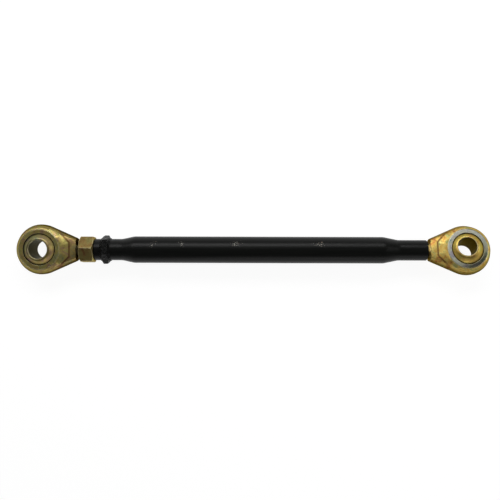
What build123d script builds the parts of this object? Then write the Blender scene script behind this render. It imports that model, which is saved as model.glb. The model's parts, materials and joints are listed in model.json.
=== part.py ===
from build123d import *
from math import cos, radians, sin, tan
import os

os.makedirs("parts", exist_ok=True)

# Adjustable stabilizer link: a tube with opposite threads in its two necks, and a ball eye
# screwed into each. X runs along the link, and the left ball's bore stands upright along Z.
# The origin is midway between the two ball centres. Millimetres and degrees.

# The link, with both eyes screwed right in
center_distance = 520.0
screw_stop_gap = 0.3
nut_seat_gap = 0.2

# How the right eye and its ball lie, turned about the link's own axis, and the ball's lean along it
right_eye_roll = 12.5
right_ball_roll = 16.5
right_ball_lean = 6.5

# Ball
ball_diameter = 44.0
ball_width = 35.0
bore_diameter = 22.4
bore_chamfer = 0.6
ball_fit = 0.08

# Split race, pressed into the eye from both sides
race_wall = 2.5
race_width = 24.0
race_split = 0.2
race_lip_height = 10.4
race_edge_chamfer = 0.5
press_gap = 0.01

# Forged eye: teardrop body, forged over length and faced off at the end of the shank
eye_wall = 6.1
parting_land = 1.8
draft_angle = 19.0
shank_length = 13.4
shank_thickness = 19.6
facing_stock = 4.0
forged_end_height = 24.2
shank_bevel = 1.0
shank_end_bevel = 0.6
turned_bevel_angle = 35.0
turned_face_diameter = 27.4

# Forged eye: raised boss round the race, steep but for its long blunt nose on the shank
boss_height = 2.1
boss_root = 2.0
boss_margin = 2.8
boss_slope = 51.0
nose_slope = 72.0
nose_setback = 8.6
nose_half_height = 8.4
nose_corner_length = 9.9
nose_corner_rise = 10.4
nose_corner_radius = 7.0

# Stems, as plain cylinders of the thread's outer diameter
thread_diameter = 20.0
thread_fit = 0.08
stem_length = 84.0
stem_tip_chamfer = 1.5
stem_root_length = 3.3
stem_root_step = 0.4

# Lock nut
nut_across_flats = 30.0
nut_thickness = 18.0
nut_face_diameter = 28.2
nut_countersink = 0.9
nut_roll = 24.0

# Tube, swaged down to a neck at each end
tube_diameter = 32.6
tube_wall = 4.0
swage_radius = 20.0
left_neck_diameter = 26.2
left_neck_length = 33.2
left_taper_length = 14.8
right_neck_diameter = 25.2
right_neck_length = 35.0
right_taper_length = 17.9
neck_end_radius = 0.8
threaded_runout = 6.0

# Wrench collar, welded on the left neck
collar_across_flats = 31.0
collar_length = 10.4
collar_setback = 8.2
collar_fit = 0.01
collar_roll = 48.0

# Corners of the nut and the collar are turned off at this angle to their faces
hexagon_bevel_angle = 30.0
corner_clearance = 3.0

# Sizes that follow from those above
ball_radius = ball_diameter / 2
seat_radius = ball_radius + ball_fit
mouth_radius = (seat_radius**2 - race_lip_height**2) ** 0.5
race_radius = seat_radius + race_wall
eye_radius = race_radius + eye_wall
shank_reach = eye_radius + shank_length
nose_reach = shank_reach - nose_setback
thread_radius = thread_diameter / 2
threaded_bore = thread_radius + thread_fit
left_ball_x = -center_distance / 2
right_ball_x = center_distance / 2
stem_start_reach = shank_reach + stem_root_length + screw_stop_gap
nut_start = left_ball_x + stem_start_reach
tube_start = nut_start + nut_thickness + nut_seat_gap
tube_end = right_ball_x - stem_start_reach
collar_start = tube_start + collar_setback


def end_frame(x, x_dir, roll=0.0, lean=0.0):
    """The plane of an eye or ball: its origin at the ball's centre, its normal along the bore."""
    tilt, slant = radians(roll), radians(lean)
    normal = (-sin(slant), sin(tilt) * cos(slant), cos(tilt) * cos(slant))
    return Plane(origin=(x, 0, 0), x_dir=x_dir, z_dir=normal)


def back_of(frame):
    return Plane(origin=frame.origin, x_dir=frame.x_dir, z_dir=-frame.z_dir)


def section_plane(frame):
    """The plane through a frame's bore axis and its shank, for outlines that are revolved."""
    return Plane(origin=frame.origin, x_dir=frame.x_dir, z_dir=-frame.y_dir)


def bore_axis(frame):
    return Axis(frame.origin, frame.z_dir)


def shank_axis(frame):
    return Axis(frame.origin, frame.x_dir)


def finish(piece, label):
    piece.label = label
    export_step(piece, f"parts/{label}.step")


# Outlines of the forged eye
def teardrop(plane):
    """A circle round the race, with straight sides down to the shank's end as forged."""
    with BuildSketch(plane) as outline:
        Circle(eye_radius)
        with Locations((shank_reach, 0)):
            Rectangle(facing_stock, forged_end_height, align=(Align.MIN, Align.CENTER))
        make_hull()
    return outline.sketch


def boss_ring(plane):
    with BuildSketch(plane) as outline:
        Circle(race_radius + boss_margin)
    return outline.sketch


def boss_outline(plane):
    """The foot of the boss: a circle round the race, drawn out to a blunt nose."""
    shoulder_x = nose_reach - nose_corner_length
    shoulder_y = nose_half_height + nose_corner_rise
    with BuildSketch(plane) as outline:
        Circle(race_radius + boss_margin)
        with BuildLine():
            Polyline(
                (shoulder_x, shoulder_y),
                (nose_reach, nose_half_height),
                (nose_reach, -nose_half_height),
                (shoulder_x, -shoulder_y),
                close=True,
            )
        make_face()
        make_hull()
        fillet(outline.vertices().sort_by(Axis.X)[-4:], nose_corner_radius)
    return outline.sketch


# Eye forging with its threaded stem
def make_eye(frame, label):
    bore, along = bore_axis(frame), shank_axis(frame)
    half_thickness = shank_thickness / 2
    shank_end = Plane(frame.from_local_coords((shank_reach, 0, 0)), z_dir=frame.x_dir)
    with BuildPart() as eye:
        # Front half of the teardrop: an upright land at the parting line, then the drafted flank,
        # with the over length faced off
        extrude(teardrop(frame), amount=parting_land)
        flank_foot = teardrop(frame.offset(parting_land))
        extrude(flank_foot, amount=half_thickness - parting_land, taper=draft_angle)
        split(bisect_by=shank_end, keep=Keep.BOTTOM)
        rim = eye.faces().sort_by(bore)[-1].edges().sort_by(along)
        chamfer(rim[:-1], shank_bevel)
        end_edge = eye.faces().sort_by(bore)[-1].edges().sort_by(along)[-1]
        chamfer(end_edge, shank_end_bevel)

        # Boss, rooted in the flank and sloping up to the race, gently from its nose
        extrude(boss_outline(frame.offset(half_thickness - boss_root)), amount=boss_root)
        extrude(boss_outline(frame.offset(half_thickness)), amount=boss_height, taper=nose_slope)
        extrude(boss_ring(frame.offset(half_thickness)), amount=boss_height, taper=boss_slope)
        mirror(about=frame)

        # Corners of the shank's end, turned off on the lathe
        with BuildSketch(section_plane(frame)):
            with BuildLine():
                cut_radius = eye_radius
                face_radius = turned_face_diameter / 2
                cut_length = (cut_radius - face_radius) * tan(radians(turned_bevel_angle))
                Polyline(
                    (shank_reach, face_radius),
                    (shank_reach, cut_radius),
                    (shank_reach - cut_length, cut_radius),
                    close=True,
                )
            make_face()
        revolve(axis=along, mode=Mode.SUBTRACT)

        # Stem: a plain root that the tube or the nut stops against, then the threaded length
        with BuildSketch(shank_end):
            Circle(thread_radius)
        extrude(amount=stem_length)
        chamfer(eye.faces().sort_by(along)[-1].edges(), stem_tip_chamfer)
        with BuildSketch(shank_end):
            Circle(thread_radius + stem_root_step)
        extrude(amount=stem_root_length)

        # Bored through for the race
        with BuildSketch(frame):
            Circle(race_radius + press_gap)
        extrude(amount=shank_thickness, both=True, mode=Mode.SUBTRACT)
    finish(eye.part, label)


# Half of the race, from the ball's middle to one face of the eye
def make_race(frame, label):
    with BuildPart() as race:
        with BuildSketch(section_plane(frame)) as profile:
            with Locations((0, race_split / 2)):
                Rectangle(race_radius, (race_width - race_split) / 2, align=Align.MIN)
            Circle(seat_radius, mode=Mode.SUBTRACT)
            Rectangle(mouth_radius, race_width, align=Align.MIN, mode=Mode.SUBTRACT)
            outer_corner = profile.vertices().group_by(Axis.Y)[-1].sort_by(Axis.X)[-1]
            chamfer(outer_corner, race_edge_chamfer)
        revolve(axis=bore_axis(frame))
    finish(race.part, label)


# Ball, flat on both sides and bored for the pin
def make_ball(frame, label):
    with BuildPart() as ball:
        with BuildSketch(section_plane(frame)) as profile:
            Circle(ball_radius)
            with Locations((bore_diameter / 2, 0)):
                Rectangle(
                    ball_radius,
                    ball_width,
                    align=(Align.MIN, Align.CENTER),
                    mode=Mode.INTERSECT,
                )
            chamfer(profile.vertices().group_by(Axis.X)[0], bore_chamfer)
        revolve(axis=bore_axis(frame))
    finish(ball.part, label)


# Bored hexagon, with its corners turned off at both ends, as on a nut
def hexagon_ring(start, length, across_flats, hole_radius, face_radius, roll):
    past_corners = across_flats / 2 + corner_clearance
    bevel_length = (past_corners - face_radius) * tan(radians(hexagon_bevel_angle))
    with BuildPart() as ring:
        with BuildSketch(Plane.YZ.offset(start)):
            RegularPolygon(across_flats / 2, 6, major_radius=False, rotation=roll)
            Circle(hole_radius, mode=Mode.SUBTRACT)
        extrude(amount=length)
        with BuildSketch(Plane.XY):
            with BuildLine():
                Polyline(
                    (start, 0),
                    (start, face_radius),
                    (start + bevel_length, past_corners),
                    (start + length - bevel_length, past_corners),
                    (start + length, face_radius),
                    (start + length, 0),
                    close=True,
                )
            make_face()
        revolve(axis=Axis.X, mode=Mode.INTERSECT)
    return ring.part


# Left end: eye, race halves and ball
left_frame = end_frame(left_ball_x, (1, 0, 0))
make_eye(left_frame, "left_eye")
make_race(left_frame, "left_race_front")
make_race(back_of(left_frame), "left_race_back")
make_ball(left_frame, "left_ball")

# Right end: the same pieces, facing the other way and rolled a little
right_frame = end_frame(right_ball_x, (-1, 0, 0), right_eye_roll)
make_eye(right_frame, "right_eye")
make_race(right_frame, "right_race_front")
make_race(back_of(right_frame), "right_race_back")
make_ball(end_frame(right_ball_x, (-1, 0, 0), right_ball_roll, right_ball_lean), "right_ball")

# Lock nut on the left stem, run up against the tube
with BuildPart() as lock_nut:
    nut_face_radius = nut_face_diameter / 2
    add(
        hexagon_ring(
            nut_start, nut_thickness, nut_across_flats, threaded_bore, nut_face_radius, nut_roll
        )
    )
    circles = lock_nut.edges().filter_by(GeomType.CIRCLE)
    chamfer(circles.group_by(SortBy.RADIUS)[0], nut_countersink)
finish(lock_nut.part, "lock_nut")

# Tube, turned from its outline: hollow between two necks that are bored for the threads
outer_radius = tube_diameter / 2
inner_radius = outer_radius - tube_wall
left_neck = left_neck_diameter / 2
right_neck = right_neck_diameter / 2
left_shoulder = tube_start + left_neck_length
right_shoulder = tube_end - right_neck_length
with BuildPart() as tube:
    with BuildSketch(Plane.XY):
        with BuildLine():
            FilletPolyline(
                (tube_start, threaded_bore),
                (tube_start, left_neck),
                (left_shoulder, left_neck),
                (left_shoulder + left_taper_length, outer_radius),
                (right_shoulder - right_taper_length, outer_radius),
                (right_shoulder, right_neck),
                (tube_end, right_neck),
                (tube_end, threaded_bore),
                radius=[neck_end_radius] + 4 * [swage_radius] + [neck_end_radius],
            )
            Polyline(
                (tube_end, threaded_bore),
                (right_shoulder - threaded_runout, threaded_bore),
                (right_shoulder - right_taper_length - threaded_runout, inner_radius),
                (left_shoulder + left_taper_length + threaded_runout, inner_radius),
                (left_shoulder + threaded_runout, threaded_bore),
                (tube_start, threaded_bore),
            )
        make_face()
    revolve(axis=Axis.X)
finish(tube.part, "tube")

# Wrench collar: a hexagon whose turned ends run down to the neck
collar_bore = left_neck + collar_fit
wrench_collar = hexagon_ring(
    collar_start, collar_length, collar_across_flats, collar_bore, collar_bore, collar_roll
)
finish(wrench_collar, "wrench_collar")
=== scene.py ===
import json
import math

import bmesh
import bpy
from mathutils import Matrix, Vector, noise


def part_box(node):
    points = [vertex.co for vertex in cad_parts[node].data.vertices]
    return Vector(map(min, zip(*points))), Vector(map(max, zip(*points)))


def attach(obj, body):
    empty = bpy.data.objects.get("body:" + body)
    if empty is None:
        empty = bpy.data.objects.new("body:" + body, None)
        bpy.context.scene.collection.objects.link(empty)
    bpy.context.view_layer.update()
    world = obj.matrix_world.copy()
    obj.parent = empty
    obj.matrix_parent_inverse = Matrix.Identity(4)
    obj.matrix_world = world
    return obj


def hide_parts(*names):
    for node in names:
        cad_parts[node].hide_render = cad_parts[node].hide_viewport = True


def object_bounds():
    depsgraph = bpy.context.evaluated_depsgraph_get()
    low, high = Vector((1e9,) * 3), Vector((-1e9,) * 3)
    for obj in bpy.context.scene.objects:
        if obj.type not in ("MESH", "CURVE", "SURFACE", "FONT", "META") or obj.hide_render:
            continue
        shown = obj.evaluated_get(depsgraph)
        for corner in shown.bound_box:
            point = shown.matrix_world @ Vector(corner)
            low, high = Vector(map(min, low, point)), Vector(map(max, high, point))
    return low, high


# An adjustable stabilizer link seen straight from above: a black tube between two plated ball
# eyes. X runs along the link and Z is up. Metres and degrees.
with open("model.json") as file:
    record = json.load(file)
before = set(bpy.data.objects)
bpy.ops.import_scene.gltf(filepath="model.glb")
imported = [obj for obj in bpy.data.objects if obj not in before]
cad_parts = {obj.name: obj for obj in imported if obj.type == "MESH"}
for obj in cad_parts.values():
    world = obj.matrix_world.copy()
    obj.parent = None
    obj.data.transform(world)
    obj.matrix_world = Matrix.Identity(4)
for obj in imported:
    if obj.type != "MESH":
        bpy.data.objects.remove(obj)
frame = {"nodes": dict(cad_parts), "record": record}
cad_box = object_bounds()

# Places in the record: ball centres and bore axes, and how far one turn of the tube moves the nut
record = frame["record"]
mounts = {mount["name"]: mount for mount in record["mounts"]}
left_bore, right_bore = mounts["left_bore"], mounts["right_bore"]
bore_radius = left_bore["dims"]["r_mm"] / 1000
couplings = {coupling["joint"]: coupling for coupling in record["behaviour"]["couplings"]}
pitch = 2 * math.pi * couplings["nut_travel"]["ratio"]

# Stems of the eyes: M20 threads beyond a plain root, which is nearly all of them that shows at
# rest. The ridge's half-widths are shares of the pitch, and it is sunk a little into the core.
thread_radius = 0.010
thread_depth = 0.00153
crest_setback = 0.00002
ridge_root = 0.375
ridge_crest = 0.0625
ridge_sink = 0.0001
stem_length = 0.084
stem_root_length = 0.0033
tip_chamfer = 0.0015
steps_per_turn = 48
right_handed, left_handed = 1.0, -1.0

# Balls: bored through. The edge of each flat is eased, from ball_edge_angle round the ball to
# ball_flat_setback in on the flat.
ball_radius = 0.022
ball_half_width = 0.0175
bore_chamfer = 0.0006
ball_edge_angle = 1.8
ball_flat_setback = 0.0011
ball_arc_steps = 40
turned_steps = 144

# Weld beads at the feet of the wrench collar, on a circle just under the neck's surface. Their
# slow lumps and finer ripples are shares of the size.
bead_circle_radius = 0.013
bead_radius = 0.0011
bead_lumps = 0.35
bead_lump_scale = 6.0
bead_ripples = 0.12
ripples_round = 24
bead_steps = 120
bead_corners = 10

# Angles past which an edge stays sharp when a piece is shaded smooth
forging_sharp_angle = 32.0
ball_sharp_angle = 25.0
bead_sharp_angle = 80.0

# The boss on each eye: how far its nose reaches from the ball's centre, and the nose's shape. The
# right eye is rolled about the link.
nose_reach = 0.0355
nose_half_height = 0.0084
nose_corner_angle = 43.6
right_eye_roll = 12.5

# Plating: scales of its noises, and the depth of the turned rings
patch_scale = 95.0
mottle_scale = 620.0
wear_scale = 260.0
skin_scale = 900.0
ring_scale = 2600.0
ring_depth = 0.00002

# Its colours: brown mottle, the painted shade along the foot of the boss, worn edges with a painted
# highlight, and painted shade in a bore
mottle_colour = (0.16, 0.09, 0.03)
foot_shade_colour = (0.14, 0.06, 0.025)
worn_highlight_colour = (0.80, 0.72, 0.42)
bore_shade_colour = (0.036, 0.032, 0.024)

# How far from an edge it is rounded and worn bright, with a painted edge highlight, by the cosine of the
# rounded normal's turn, and how far off a crevice's walls painted shade darkens it, by the share of the
# surroundings that it sees
edge_radius = 0.0005
wear_and_highlight_reach = 0.0009
wear_and_highlight_limits = (0.965, 0.998)
wear_and_highlight_strength = 0.7
crevice_reach = 0.004
crevice_limits = (0.25, 0.85)

# Forged film: painted shade from flank to face by the slope's cosine, a tint from boss to shank by the
# distance from the foot of the nose, and a painted shade line along that foot, where no edge is worn
face_limits = (0.25, 0.75)
shank_limits = (-0.0004, 0.0006)
foot_line_place = 0.0003
foot_line_limits = (0.0005, 0.0015)
foot_line_clear = 0.0014
foot_shade_strength = 0.82

# Half the width of a painted light across a ball or race, how far beyond a bore's wall its painted shade
# is full and fades out, and the length over which painted shade sets in on the stem, with the share of
# the colour that it leaves
painted_light_reach = 0.024
bore_shade_full, bore_shade_gone = 0.0001, 0.0004
stem_shade_fade = 0.0006
stem_shaded_share = 0.16

# Black paint: scales of its noises, the two shades of its streaks, and the bare steel under its
# chips, rusty or bright
streak_scale = 700.0
streak_stretch = 0.04
paint_wear_scale = 240.0
paint_edge_radius = 0.0004
streak_shades = [(0.3, (0.0026, 0.0029, 0.0026)), (0.7, (0.0052, 0.0055, 0.0048))]
chip_scale = 800.0
chip_level = 0.74
chip_gain = 0.185
chip_softness = 0.02
bare_scale = 900.0
bare_shades = [(0.38, (0.20, 0.12, 0.07)), (0.52, (0.48, 0.47, 0.42))]

# Where the tube is chipped: the middle and half-length of each stretch along X, and the band
# across Y, fading in and out
chipped_stretches = [(-0.122, 0.012), (-0.087, 0.010), (-0.021, 0.016), (0.080, 0.018)]
chips_fade_in = (0.001, 0.005)
chips_fade_out = (0.009, 0.013)

# Camera: straight above the link, turned a little in its own plane
camera_height = 0.7631
camera_x = -0.0042
camera_y = -0.0001
camera_turn = 0.15
camera_lens = 44.64
sensor_width = 36.0

# Surroundings: strengths of the floor, the horizon and the ceiling, and the heights, as sines of
# the angle, between which the dome dims towards the ceiling and the white backdrop fades out
floor_strength = 0.93
floor_colour = 0.14
floor_size = 8.0
horizon_strength = 0.40
ceiling_strength = 0.13
dome_low, dome_high = 0.05, 0.5
backdrop_fade = 0.15
backdrop_top = 0.25


# Node helpers
def put(tree, kind, inputs=None, **settings):
    """Adds a node, with each input set to a value or linked from another node's socket."""
    made = tree.nodes.new(kind)
    for key, value in settings.items():
        setattr(made, key, value)
    for key, value in (inputs or {}).items():
        if isinstance(value, bpy.types.NodeSocket):
            tree.links.new(value, made.inputs[key])
        else:
            made.inputs[key].default_value = value
    return made


def noise_of(tree, vector, scale, detail=4.0, roughness=0.55, distortion=0.0):
    sizes = {"Scale": scale, "Detail": detail, "Roughness": roughness, "Distortion": distortion}
    return put(tree, "ShaderNodeTexNoise", {"Vector": vector, **sizes}).outputs["Fac"]


def calculate(tree, operation, first, second=0.0):
    return put(tree, "ShaderNodeMath", {0: first, 1: second}, operation=operation).outputs[0]


def vectors(tree, operation, first, second=(0.0, 0.0, 0.0)):
    """The outputs of a vector sum, product or other operation."""
    return put(tree, "ShaderNodeVectorMath", {0: first, 1: second}, operation=operation).outputs


def ramp(tree, factor, stops):
    """A colour ramp: stops are (position, (red, green, blue))."""
    made = put(tree, "ShaderNodeValToRGB", {"Fac": factor})
    elements = made.color_ramp.elements
    while len(elements) < len(stops):
        elements.new(0.5)
    for element, (position, colour) in zip(elements, stops):
        element.position = position
        element.color = (*colour, 1.0)
    return made.outputs["Color"]


def spread(tree, factor, low, high, out_low=0.0, out_high=1.0):
    """Stretches a factor's low to high over out_low to out_high."""
    sizes = {"Value": factor, "From Min": low, "From Max": high, "To Min": out_low, "To Max": out_high}
    return put(tree, "ShaderNodeMapRange", sizes).outputs["Result"]


def blend_colours(tree, factor, first, second, blend_type="MIX"):
    made = put(tree, "ShaderNodeMix", data_type="RGBA", blend_type=blend_type)
    for socket, value in zip((made.inputs[0], made.inputs[6], made.inputs[7]), (factor, first, second)):
        if isinstance(value, bpy.types.NodeSocket):
            tree.links.new(value, socket)
        else:
            socket.default_value = (*value, 1.0) if isinstance(value, tuple) else value
    return made.outputs[2]


def darken(tree, colour, factor):
    grey = put(tree, "ShaderNodeCombineColor", {"Red": factor, "Green": factor, "Blue": factor})
    return blend_colours(tree, 1.0, colour, grey.outputs["Color"], "MULTIPLY")


def bump(tree, height, distance, strength=1.0, normal=None):
    inputs = {"Height": height, "Distance": distance, "Strength": strength}
    if normal:
        inputs["Normal"] = normal
    return put(tree, "ShaderNodeBump", inputs).outputs["Normal"]


def rounded_edges(tree, radius):
    return put(tree, "ShaderNodeBevel", {"Radius": radius}, samples=6).outputs["Normal"]


def worn_and_highlit_edges(tree):
    """1 along the edges, where the rounded normal turns away from the face's own: wear, with a painted
    edge highlight.
    """
    own = put(tree, "ShaderNodeNewGeometry").outputs["Normal"]
    turned_by = vectors(tree, "DOT_PRODUCT", rounded_edges(tree, wear_and_highlight_reach), own)["Value"]
    return spread(tree, turned_by, *wear_and_highlight_limits, 1.0, 0.0)


def crevice_shade(tree, darkest):
    """Painted shade: 1 in the open, down to darkest in the crevices."""
    inputs = {"Distance": crevice_reach}
    open_share = put(tree, "ShaderNodeAmbientOcclusion", inputs, samples=12).outputs["AO"]
    return spread(tree, open_share, *crevice_limits, darkest, 1.0)


def new_material(name):
    material = bpy.data.materials.new(name)
    material.use_nodes = True
    tree = material.node_tree
    return material, tree, tree.nodes["Principled BSDF"]


def object_place(tree):
    return put(tree, "ShaderNodeTexCoord").outputs["Object"]


def bore_distance(tree, mount):
    """Distance from a bore's axis."""
    turn = Vector(mount["axis"]).to_track_quat("Z", "Y").to_euler()
    inputs = {"Vector": object_place(tree), "Location": mount["pos_m"], "Rotation": turn}
    place = put(tree, "ShaderNodeMapping", inputs, vector_type="TEXTURE").outputs["Vector"]
    flat = vectors(tree, "MULTIPLY", place, (1.0, 1.0, 0.0))["Vector"]
    return vectors(tree, "LENGTH", flat)["Value"]


def off_nose(tree, ball_x, outward, roll):
    """Distance from the foot of the boss's nose, in the plane of the eye: below 0 on the boss."""
    inputs = {"Vector": object_place(tree), "Location": (ball_x, 0.0, 0.0)}
    inputs["Rotation"] = (-math.radians(roll), 0.0, 0.0)
    local = put(tree, "ShaderNodeMapping", inputs, vector_type="TEXTURE").outputs["Vector"]
    axes = put(tree, "ShaderNodeSeparateXYZ", {"Vector": local}).outputs
    past_end = calculate(tree, "SUBTRACT", calculate(tree, "MULTIPLY", axes["X"], outward), nose_reach)
    side = calculate(tree, "SUBTRACT", calculate(tree, "ABSOLUTE", axes["Y"]), nose_half_height)
    corner = math.radians(nose_corner_angle)
    end_share = calculate(tree, "MULTIPLY", past_end, math.cos(corner))
    side_share = calculate(tree, "MULTIPLY", side, math.sin(corner))
    return calculate(tree, "MAXIMUM", past_end, calculate(tree, "ADD", end_share, side_share))


# Yellow passivated zinc: a metal whose film shifts between gold, olive, red-brown and green
def forged_film_and_shade(tree, colour, edge_wear_and_highlight, ball_x, outward, roll, flank, shank):
    """Painted shade on the forged flanks, a tint on the shank, and a red-brown painted shade line along
    the foot of the boss, where the edges aren't worn."""
    upward = (0.0, math.sin(math.radians(roll)), math.cos(math.radians(roll)))
    own = put(tree, "ShaderNodeTexCoord").outputs["Normal"]
    facing = vectors(tree, "DOT_PRODUCT", own, upward)["Value"]
    # Painted shade: the flanks, turned away from the eye's up, are darkened
    flank_shade_share = spread(tree, calculate(tree, "ABSOLUTE", facing), *face_limits, flank, 1.0)
    colour = darken(tree, colour, flank_shade_share)

    foot = off_nose(tree, ball_x, outward, roll)
    beyond = spread(tree, foot, *shank_limits)
    shank_colour = blend_colours(tree, 1.0, colour, shank, "MULTIPLY")
    colour = blend_colours(tree, beyond, colour, shank_colour)

    # Painted shade: a red-brown line along the foot of the boss
    off_line = calculate(tree, "ABSOLUTE", calculate(tree, "SUBTRACT", foot, foot_line_place))
    line = spread(tree, off_line, *foot_line_limits, foot_shade_strength, 0.0)
    line = calculate(tree, "MULTIPLY", line, flank_shade_share)
    colour = blend_colours(tree, line, colour, foot_shade_colour)
    clear_of_line = calculate(tree, "GREATER_THAN", off_line, foot_line_clear)
    return colour, calculate(tree, "MULTIPLY", edge_wear_and_highlight, clear_of_line)


def painted_light_across(tree, colour, centre, way, stops):
    """Painted light and shade across a ball or its race, along a direction, as a tint of its film."""
    off_centre = vectors(tree, "SUBTRACT", object_place(tree), centre)["Vector"]
    toward = vectors(tree, "DOT_PRODUCT", off_centre, way)["Value"]
    painted_tint = ramp(tree, spread(tree, toward, -painted_light_reach, painted_light_reach), stops)
    return blend_colours(tree, 1.0, colour, painted_tint, "MULTIPLY")


def plating(
    name,
    film,
    seed,
    roughness=(0.32, 0.46),
    grain=0.00004,
    mottled=0.35,
    forged=None,
    turned_about=None,
    bored=False,
    painted_light=None,
    stem_shaded_from=None,
    crevice=0.12,
    glancing=(0.55, 0.48, 0.32),
):
    material, tree, surface = new_material(name)
    place = vectors(tree, "ADD", object_place(tree), (seed, seed, 0.0))["Vector"]
    patches = noise_of(tree, place, patch_scale, detail=5.0, roughness=0.62, distortion=0.8)
    colour = ramp(tree, spread(tree, patches, 0.36, 0.64), film)
    mottle = spread(tree, noise_of(tree, place, mottle_scale, detail=3.0), 0.35, 0.75)
    colour = blend_colours(tree, calculate(tree, "MULTIPLY", mottle, mottled), colour, mottle_colour)
    surface.inputs["Metallic"].default_value = 1.0
    surface.inputs["Specular Tint"].default_value = (*glancing, 1.0)
    rubbed = spread(tree, noise_of(tree, place, wear_scale), 0.3, 0.7, *roughness)
    tree.links.new(rubbed, surface.inputs["Roughness"])
    skin = noise_of(tree, place, skin_scale, detail=6.0, roughness=0.65)
    normal = bump(tree, skin, grain, normal=rounded_edges(tree, edge_radius))

    # The film is thin and bright along the edges: wear, with a painted edge highlight
    edge_wear_and_highlight = calculate(tree, "MULTIPLY", worn_and_highlit_edges(tree), wear_and_highlight_strength)
    if forged:
        colour, edge_wear_and_highlight = forged_film_and_shade(tree, colour, edge_wear_and_highlight, **forged)

    # Turned faces carry fine rings about the bore
    if turned_about:
        radius = bore_distance(tree, turned_about)
        ring_place = put(tree, "ShaderNodeCombineXYZ", {"X": radius}).outputs["Vector"]
        rings = noise_of(tree, ring_place, ring_scale, detail=2.0)
        normal = bump(tree, rings, ring_depth, strength=0.5, normal=normal)
        # Painted light and shade across the face
        if painted_light:
            colour = painted_light_across(tree, colour, turned_about["pos_m"], *painted_light)
        if bored:
            # Painted shade inside the bore, fading out beyond its wall
            inside = spread(tree, radius, bore_radius + bore_shade_full, bore_radius + bore_shade_gone, 1.0, 0.0)
            colour = blend_colours(tree, inside, colour, bore_shade_colour)
    # Worn edges with a painted highlight, in a bright colour
    colour = blend_colours(tree, edge_wear_and_highlight, colour, worn_highlight_colour)

    # Painted shade on the stem, beyond the end of the shank
    if stem_shaded_from is not None:
        x = put(tree, "ShaderNodeSeparateXYZ", {"Vector": object_place(tree)}).outputs["X"]
        unshaded_share = spread(tree, x, stem_shaded_from - stem_shade_fade, stem_shaded_from, 1.0, stem_shaded_share)
        colour = darken(tree, colour, unshaded_share)
    # Painted shade in the crevices of every plated piece
    colour = darken(tree, colour, crevice_shade(tree, crevice))
    tree.links.new(colour, surface.inputs["Base Color"])
    tree.links.new(normal, surface.inputs["Normal"])
    return material


# Black paint: drawn lengthwise streaks beneath it, and chips where it is knocked off
def knocked_off(tree, place, scuff_share):
    """1 where the paint is gone: chips come thicker in a few stretches of the tube."""
    axes = put(tree, "ShaderNodeSeparateXYZ", {"Vector": place}).outputs
    knocked = 0.0
    for middle, reach in chipped_stretches:
        off = calculate(tree, "ABSOLUTE", calculate(tree, "SUBTRACT", axes["X"], middle))
        knocked = calculate(tree, "ADD", spread(tree, off, 0.0, reach, 1.0, 0.0), knocked)
    knocked = calculate(tree, "MULTIPLY", knocked, spread(tree, axes["Y"], *chips_fade_in))
    knocked = calculate(tree, "MULTIPLY", knocked, spread(tree, axes["Y"], *chips_fade_out, 1.0, 0.0))
    specks = noise_of(tree, place, chip_scale, detail=5.0, roughness=0.7)
    gain = calculate(tree, "MULTIPLY", knocked, chip_gain)
    cut = calculate(tree, "SUBTRACT", chip_level - scuff_share, gain)
    return spread(tree, calculate(tree, "SUBTRACT", specks, cut), 0.0, chip_softness)


def black_paint(name, roughness, gloss, bumps, bump_scale, scuff_share):
    material, tree, surface = new_material(name)
    place = object_place(tree)
    drawn = vectors(tree, "MULTIPLY", place, (streak_stretch, 1.0, 1.0))["Vector"]
    shade = ramp(tree, noise_of(tree, drawn, streak_scale, detail=3.0), streak_shades)
    bare = ramp(tree, noise_of(tree, place, bare_scale), bare_shades)
    colour = blend_colours(tree, knocked_off(tree, place, scuff_share), shade, bare)
    tree.links.new(colour, surface.inputs["Base Color"])
    rubbed = spread(tree, noise_of(tree, drawn, paint_wear_scale, detail=3.0), 0.3, 0.7, *roughness)
    tree.links.new(rubbed, surface.inputs["Roughness"])
    surface.inputs["Specular IOR Level"].default_value = gloss
    skin = noise_of(tree, place, bump_scale)
    normal = bump(tree, skin, bumps, normal=rounded_edges(tree, paint_edge_radius))
    tree.links.new(normal, surface.inputs["Normal"])
    return material


# Films, from where they are thin to where they are thick
left_film = [
    (0.0, (0.40, 0.26, 0.16)),
    (0.3, (0.49, 0.37, 0.14)),
    (0.65, (0.51, 0.44, 0.13)),
    (1.0, (0.36, 0.36, 0.17)),
]
right_film = [
    (0.0, (0.46, 0.18, 0.06)),
    (0.3, (0.66, 0.43, 0.10)),
    (0.7, (0.72, 0.55, 0.16)),
    (1.0, (0.46, 0.46, 0.16)),
]
race_film = [
    (0.0, (0.62, 0.56, 0.66)),
    (0.3, (0.84, 0.84, 0.80)),
    (0.65, (0.86, 0.86, 0.72)),
    (1.0, (0.46, 0.62, 0.60)),
]
left_ball_film = [
    (0.0, (0.26, 0.19, 0.17)),
    (0.35, (0.32, 0.26, 0.12)),
    (0.7, (0.32, 0.30, 0.13)),
    (1.0, (0.24, 0.28, 0.19)),
]
right_ball_film = [
    (0.0, (0.46, 0.26, 0.08)),
    (0.4, (0.53, 0.37, 0.09)),
    (0.7, (0.52, 0.40, 0.09)),
    (1.0, (0.40, 0.36, 0.10)),
]
nut_film = [
    (0.0, (0.25, 0.13, 0.05)),
    (0.5, (0.34, 0.26, 0.09)),
    (1.0, (0.30, 0.27, 0.10)),
]

# Painted light and shade that change across a face: the way they change, and the stops along it
# Right race: a painted highlight towards the upper left and painted shade towards the lower right
ring_painted_light = (
    (-0.55, 0.84, 0.0),
    [
        (0.0, (0.12, 0.12, 0.10)),
        (0.14, (0.17, 0.17, 0.14)),
        (0.27, (0.60, 0.62, 0.49)),
        (0.65, (0.96, 1.0, 0.96)),
        (1.0, (1.0, 1.0, 0.94)),
    ],
)
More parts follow.
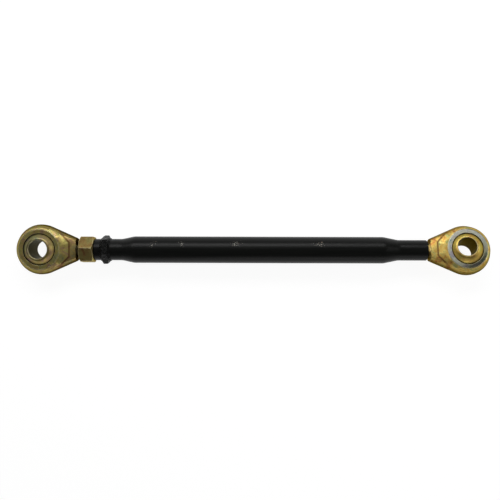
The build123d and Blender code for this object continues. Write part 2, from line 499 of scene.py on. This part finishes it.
# Left ball: painted shade, darker and bluer towards the upper left, warmer towards the lower right
left_ball_painted_shade = (
    (-0.70, 0.71, 0.0),
    [(0.0, (1.0, 0.92, 0.58)), (0.45, (0.95, 0.88, 0.78)), (1.0, (0.58, 0.74, 0.86))],
)

# The two forgings: where the ball is, which way the stem points, the eye's roll, how dark the painted
# shade on the flanks is, and the shank's tint
left_forging = {
    "ball_x": left_bore["pos_m"][0],
    "outward": 1.0,
    "roll": 0.0,
    "flank": 0.12,
    "shank": (0.80, 0.72, 0.80),
}
right_forging = {
    "ball_x": right_bore["pos_m"][0],
    "outward": -1.0,
    "roll": right_eye_roll,
    "flank": 0.20,
    "shank": (1.0, 1.0, 1.0),
}
left_shank_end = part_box("left_eye")[1][0] - stem_length

materials = {
    "left_eye": plating(
        "left eye plating", left_film, 0.31, (0.40, 0.54), forged=left_forging, stem_shaded_from=left_shank_end
    ),
    "right_eye": plating(
        "right eye plating", right_film, 0.74, (0.44, 0.58), forged=right_forging, crevice=0.35
    ),
    "left_race_front": plating("left race plating", left_film, 0.12, turned_about=left_bore),
    "left_ball": plating(
        "left ball plating",
        left_ball_film,
        0.45,
        (0.34, 0.46),
        turned_about=left_bore,
        bored=True,
        painted_light=left_ball_painted_shade,
        glancing=(0.50, 0.49, 0.44),
    ),
    "lock_nut": plating("nut plating", nut_film, 0.58, (0.30, 0.42)),
    "right_race_front": plating(
        "race steel",
        race_film,
        0.83,
        (0.3, 0.38),
        grain=0.00001,
        mottled=0.1,
        turned_about=right_bore,
        painted_light=ring_painted_light,
    ),
    "right_ball": plating(
        "right ball plating", right_ball_film, 0.9, (0.36, 0.48), turned_about=right_bore, bored=True
    ),
    "tube": black_paint(
        "black paint", (0.30, 0.40), gloss=0.15, bumps=0.00002, bump_scale=500.0, scuff_share=0.0
    ),
    "wrench_collar": black_paint(
        "rough black paint", (0.26, 0.42), gloss=0.10, bumps=0.0026, bump_scale=330.0, scuff_share=0.08
    ),
}
materials["left_race_back"] = materials["left_race_front"]
materials["right_race_back"] = materials["right_race_front"]
for name, material in materials.items():
    for material_slot in frame["nodes"][name].material_slots:
        material_slot.material = material


# Pieces made here
def new_piece(name, mesh_data, material, body, sharp_angle):
    mesh = bpy.data.meshes.new(name)
    mesh_data.to_mesh(mesh)
    mesh_data.free()
    mesh.shade_smooth()
    mesh.set_sharp_from_angle(angle=math.radians(sharp_angle))
    mesh.materials.append(material)
    piece = bpy.data.objects.new(name, mesh)
    bpy.context.scene.collection.objects.link(piece)
    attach(piece, body)
    return piece


def about_x(x, radius, angle):
    return (x, radius * math.cos(angle), radius * math.sin(angle))


def join_sections(mesh, sections, ring_shaped, closed):
    """Faces between each section and the next, and from the last to the first if closed."""
    following_sections = sections[1:] + sections[:1] if closed else sections[1:]
    for near, far in zip(sections, following_sections):
        for corner in range(len(near) if ring_shaped else len(near) - 1):
            following = (corner + 1) % len(near)
            mesh.faces.new((near[corner], near[following], far[following], far[corner]))


def eye_without_stem(node, stem_start, outward):
    """The eye as packed, open where its threaded stem begins."""
    slack = 0.0001
    eye = bmesh.new()
    eye.from_mesh(frame["nodes"][node].data)
    bmesh.ops.remove_doubles(eye, verts=eye.verts, dist=1e-6)

    def on_stem(vert):
        beyond = outward * (vert.co.x - stem_start) > -slack
        return beyond and math.hypot(vert.co.y, vert.co.z) < thread_radius + slack

    stem = [face for face in eye.faces if all(on_stem(vert) for vert in face.verts)]
    bmesh.ops.delete(eye, geom=stem, context="FACES")
    return eye


def threaded_stem(start, end, hand):
    """A turned core with a helical ridge, fading in at its root and out at its tip."""
    stem = bmesh.new()
    outward = math.copysign(1.0, end - start)
    length = abs(end - start)
    minor = thread_radius - thread_depth
    outline = [
        (0.0, thread_radius),
        (pitch, minor),
        (length - tip_chamfer, minor),
        (length, minor - tip_chamfer),
    ]
    rings = []
    for along, radius in outline:
        ring = []
        for step in range(steps_per_turn):
            angle = 2 * math.pi * step / steps_per_turn
            ring.append(stem.verts.new(about_x(start + outward * along, radius, angle)))
        rings.append(ring)
    join_sections(stem, rings, ring_shaped=True, closed=False)
    stem.faces.new(rings[-1])

    total = int((length - pitch) / pitch * steps_per_turn)
    foot = minor - ridge_sink
    sections = []
    for step in range(total + 1):
        angle = hand * outward * 2 * math.pi * step / steps_per_turn
        fade = min(1.0, step / steps_per_turn, (total - step) / steps_per_turn)
        crest = minor + fade * (thread_depth - crest_setback)
        ridge = [(-ridge_root, foot), (-ridge_crest, crest), (ridge_crest, crest), (ridge_root, foot)]
        section = []
        for offset, radius in ridge:
            along = pitch * (0.5 + step / steps_per_turn + offset)
            section.append(stem.verts.new(about_x(start + outward * along, radius, angle)))
        sections.append(section)
    join_sections(stem, sections, ring_shaped=False, closed=False)
    bmesh.ops.recalc_face_normals(stem, faces=stem.faces)
    return stem


def turned(profile, centre, axis):
    """A closed outline of (radius, height) turned about an axis through the centre."""
    piece = bmesh.new()
    turn = Vector(axis).to_track_quat("Z", "Y").to_matrix()
    sections = []
    for step in range(turned_steps):
        angle = 2 * math.pi * step / turned_steps
        way = Vector((math.cos(angle), math.sin(angle), 0.0))
        section = []
        for radius, height in profile:
            place = Vector(centre) + turn @ (way * radius + Vector((0, 0, height)))
            section.append(piece.verts.new(place))
        sections.append(section)
    join_sections(piece, sections, ring_shaped=True, closed=True)
    bmesh.ops.recalc_face_normals(piece, faces=piece.faces)
    return piece


def ball_outline():
    """Half of the ball's section: the bore, its chamfers, the flats and the round outside."""
    flat_edge = math.acos(ball_half_width / ball_radius) + math.radians(ball_edge_angle)
    outside = []
    for step in range(ball_arc_steps + 1):
        angle = flat_edge + (math.pi - 2 * flat_edge) * step / ball_arc_steps
        outside.append((ball_radius * math.sin(angle), ball_radius * math.cos(angle)))
    bevel = bore_radius + bore_chamfer
    lip = ball_radius * math.sin(flat_edge) - ball_flat_setback
    top = [
        (bore_radius, ball_half_width - bore_chamfer),
        (bevel, ball_half_width),
        (lip, ball_half_width),
    ]
    bottom = [(radius, -height) for radius, height in reversed(top)]
    return top + outside + bottom


def weld_bead(x, seed):
    """A lumpy bead round the neck."""
    bead = bmesh.new()
    sections = []
    for step in range(bead_steps):
        angle = 2 * math.pi * step / bead_steps
        lump = noise.noise(Vector((math.cos(angle), math.sin(angle), seed)) * bead_lump_scale)
        size = bead_radius * (1.0 + bead_lumps * lump + bead_ripples * math.cos(ripples_round * angle))
        section = []
        for corner in range(bead_corners):
            turn = 2 * math.pi * corner / bead_corners
            radius = bead_circle_radius + size * math.sin(turn)
            section.append(bead.verts.new(about_x(x + size * math.cos(turn), radius, angle)))
        sections.append(section)
    join_sections(bead, sections, ring_shaped=True, closed=True)
    bmesh.ops.recalc_face_normals(bead, faces=bead.faces)
    return bead


# Eyes, with threads in place of their plain stems
for side, outward, hand in (("left", 1.0, right_handed), ("right", -1.0, left_handed)):
    node = f"{side}_eye"
    low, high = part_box(node)
    tip = high[0] if outward > 0 else low[0]
    stem_start = tip - outward * (stem_length - stem_root_length)
    made_here = {
        f"{node}_forging": eye_without_stem(node, stem_start, outward),
        f"{side}_stem_thread": threaded_stem(stem_start, tip, hand),
    }
    for name, mesh_data in made_here.items():
        new_piece(name, mesh_data, materials[node], node, forging_sharp_angle)
    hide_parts(node)

# Balls
for side, mount in (("left", left_bore), ("right", right_bore)):
    node = f"{side}_ball"
    mesh_data = turned(ball_outline(), mount["pos_m"], mount["axis"])
    ball = new_piece(f"{node}_turned", mesh_data, materials[node], node, ball_sharp_angle)
    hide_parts(node)

# Weld beads on both sides of the collar
collar_low, collar_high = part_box("wrench_collar")
for side, x, seed in (("left", collar_low[0], 3.0), ("right", collar_high[0], 4.0)):
    paint = materials["wrench_collar"]
    new_piece(f"collar_weld_{side}", weld_bead(x, seed), paint, "tube", bead_sharp_angle)


# Surroundings
def seen_or_reflected(tree):
    """1 for what is seen, directly, in metal or through glass, and 0 for light on the object."""
    rays = put(tree, "ShaderNodeLightPath").outputs
    mirrored = calculate(tree, "MAXIMUM", rays["Is Glossy Ray"], rays["Is Transmission Ray"])
    return calculate(tree, "MAXIMUM", rays["Is Camera Ray"], mirrored)


# White where it is seen or reflected, and keeping a soft shadow
def make_floor():
    material, tree, surface = new_material("floor white")
    surface.inputs["Base Color"].default_value = (floor_colour, floor_colour, floor_colour, 1.0)
    surface.inputs["Roughness"].default_value = 1.0
    surface.inputs["Specular IOR Level"].default_value = 0.0
    surface.inputs["Emission Color"].default_value = (1.0, 1.0, 1.0, 1.0)
    strength = calculate(tree, "MULTIPLY", seen_or_reflected(tree), floor_strength)
    tree.links.new(strength, surface.inputs["Emission Strength"])
    bpy.ops.mesh.primitive_plane_add(size=floor_size, location=(0.0, 0.0, cad_box[0][2]))
    floor = bpy.context.object
    floor.name = "floor"
    floor.data.materials.append(material)


# A dim ceiling, brighter towards the horizon, over a white backdrop that the metal shows. The
# camera sees white all round.
def make_world():
    world = bpy.data.worlds.new("studio")
    bpy.context.scene.world = world
    world.use_nodes = True
    tree = world.node_tree
    background = tree.nodes["Background"]
    background.inputs["Color"].default_value = (1.0, 1.0, 1.0, 1.0)
    direction = put(tree, "ShaderNodeTexCoord").outputs["Generated"]
    height = put(tree, "ShaderNodeSeparateXYZ", {"Vector": direction}).outputs["Z"]
    dome = spread(tree, height, dome_low, dome_high, horizon_strength, ceiling_strength)
    backdrop = spread(tree, height, backdrop_fade, backdrop_top, 1.0, 0.0)
    white = calculate(tree, "MULTIPLY", seen_or_reflected(tree), backdrop)
    to_camera = put(tree, "ShaderNodeLightPath").outputs["Is Camera Ray"]
    strength = calculate(tree, "MAXIMUM", dome, calculate(tree, "MAXIMUM", white, to_camera))
    tree.links.new(strength, background.inputs["Strength"])


def softbox(name, direction, distance, size, power):
    """A rectangular lamp that faces the link, with its power in watts."""
    data = bpy.data.lights.new(name, "AREA")
    data.shape = "RECTANGLE"
    data.size, data.size_y = size
    data.energy = power
    lamp = bpy.data.objects.new(name, data)
    bpy.context.scene.collection.objects.link(lamp)
    toward = Vector(direction).normalized()
    turn = toward.to_track_quat("Z", "Y").to_matrix().to_4x4()
    lamp.matrix_world = Matrix.Translation(toward * distance) @ turn


def make_camera():
    data = bpy.data.cameras.new("camera")
    data.sensor_width = sensor_width
    data.lens = camera_lens
    data.clip_start = 0.01
    camera = bpy.data.objects.new("camera", data)
    bpy.context.scene.collection.objects.link(camera)
    camera.location = (camera_x, camera_y, camera_height)
    camera.rotation_euler = (0.0, 0.0, math.radians(camera_turn))
    bpy.context.scene.camera = camera


make_floor()
make_world()
softbox("key", (-0.12, 0.70, 0.72), 1.1, (1.3, 0.36), 8.0)
softbox("side", (0.85, 0.15, 0.45), 1.2, (0.5, 0.6), 2.4)
softbox("low", (0.25, -0.95, 0.30), 1.1, (0.8, 0.22), 1.0)
make_camera()
bpy.context.scene.view_settings.view_transform = "Standard"
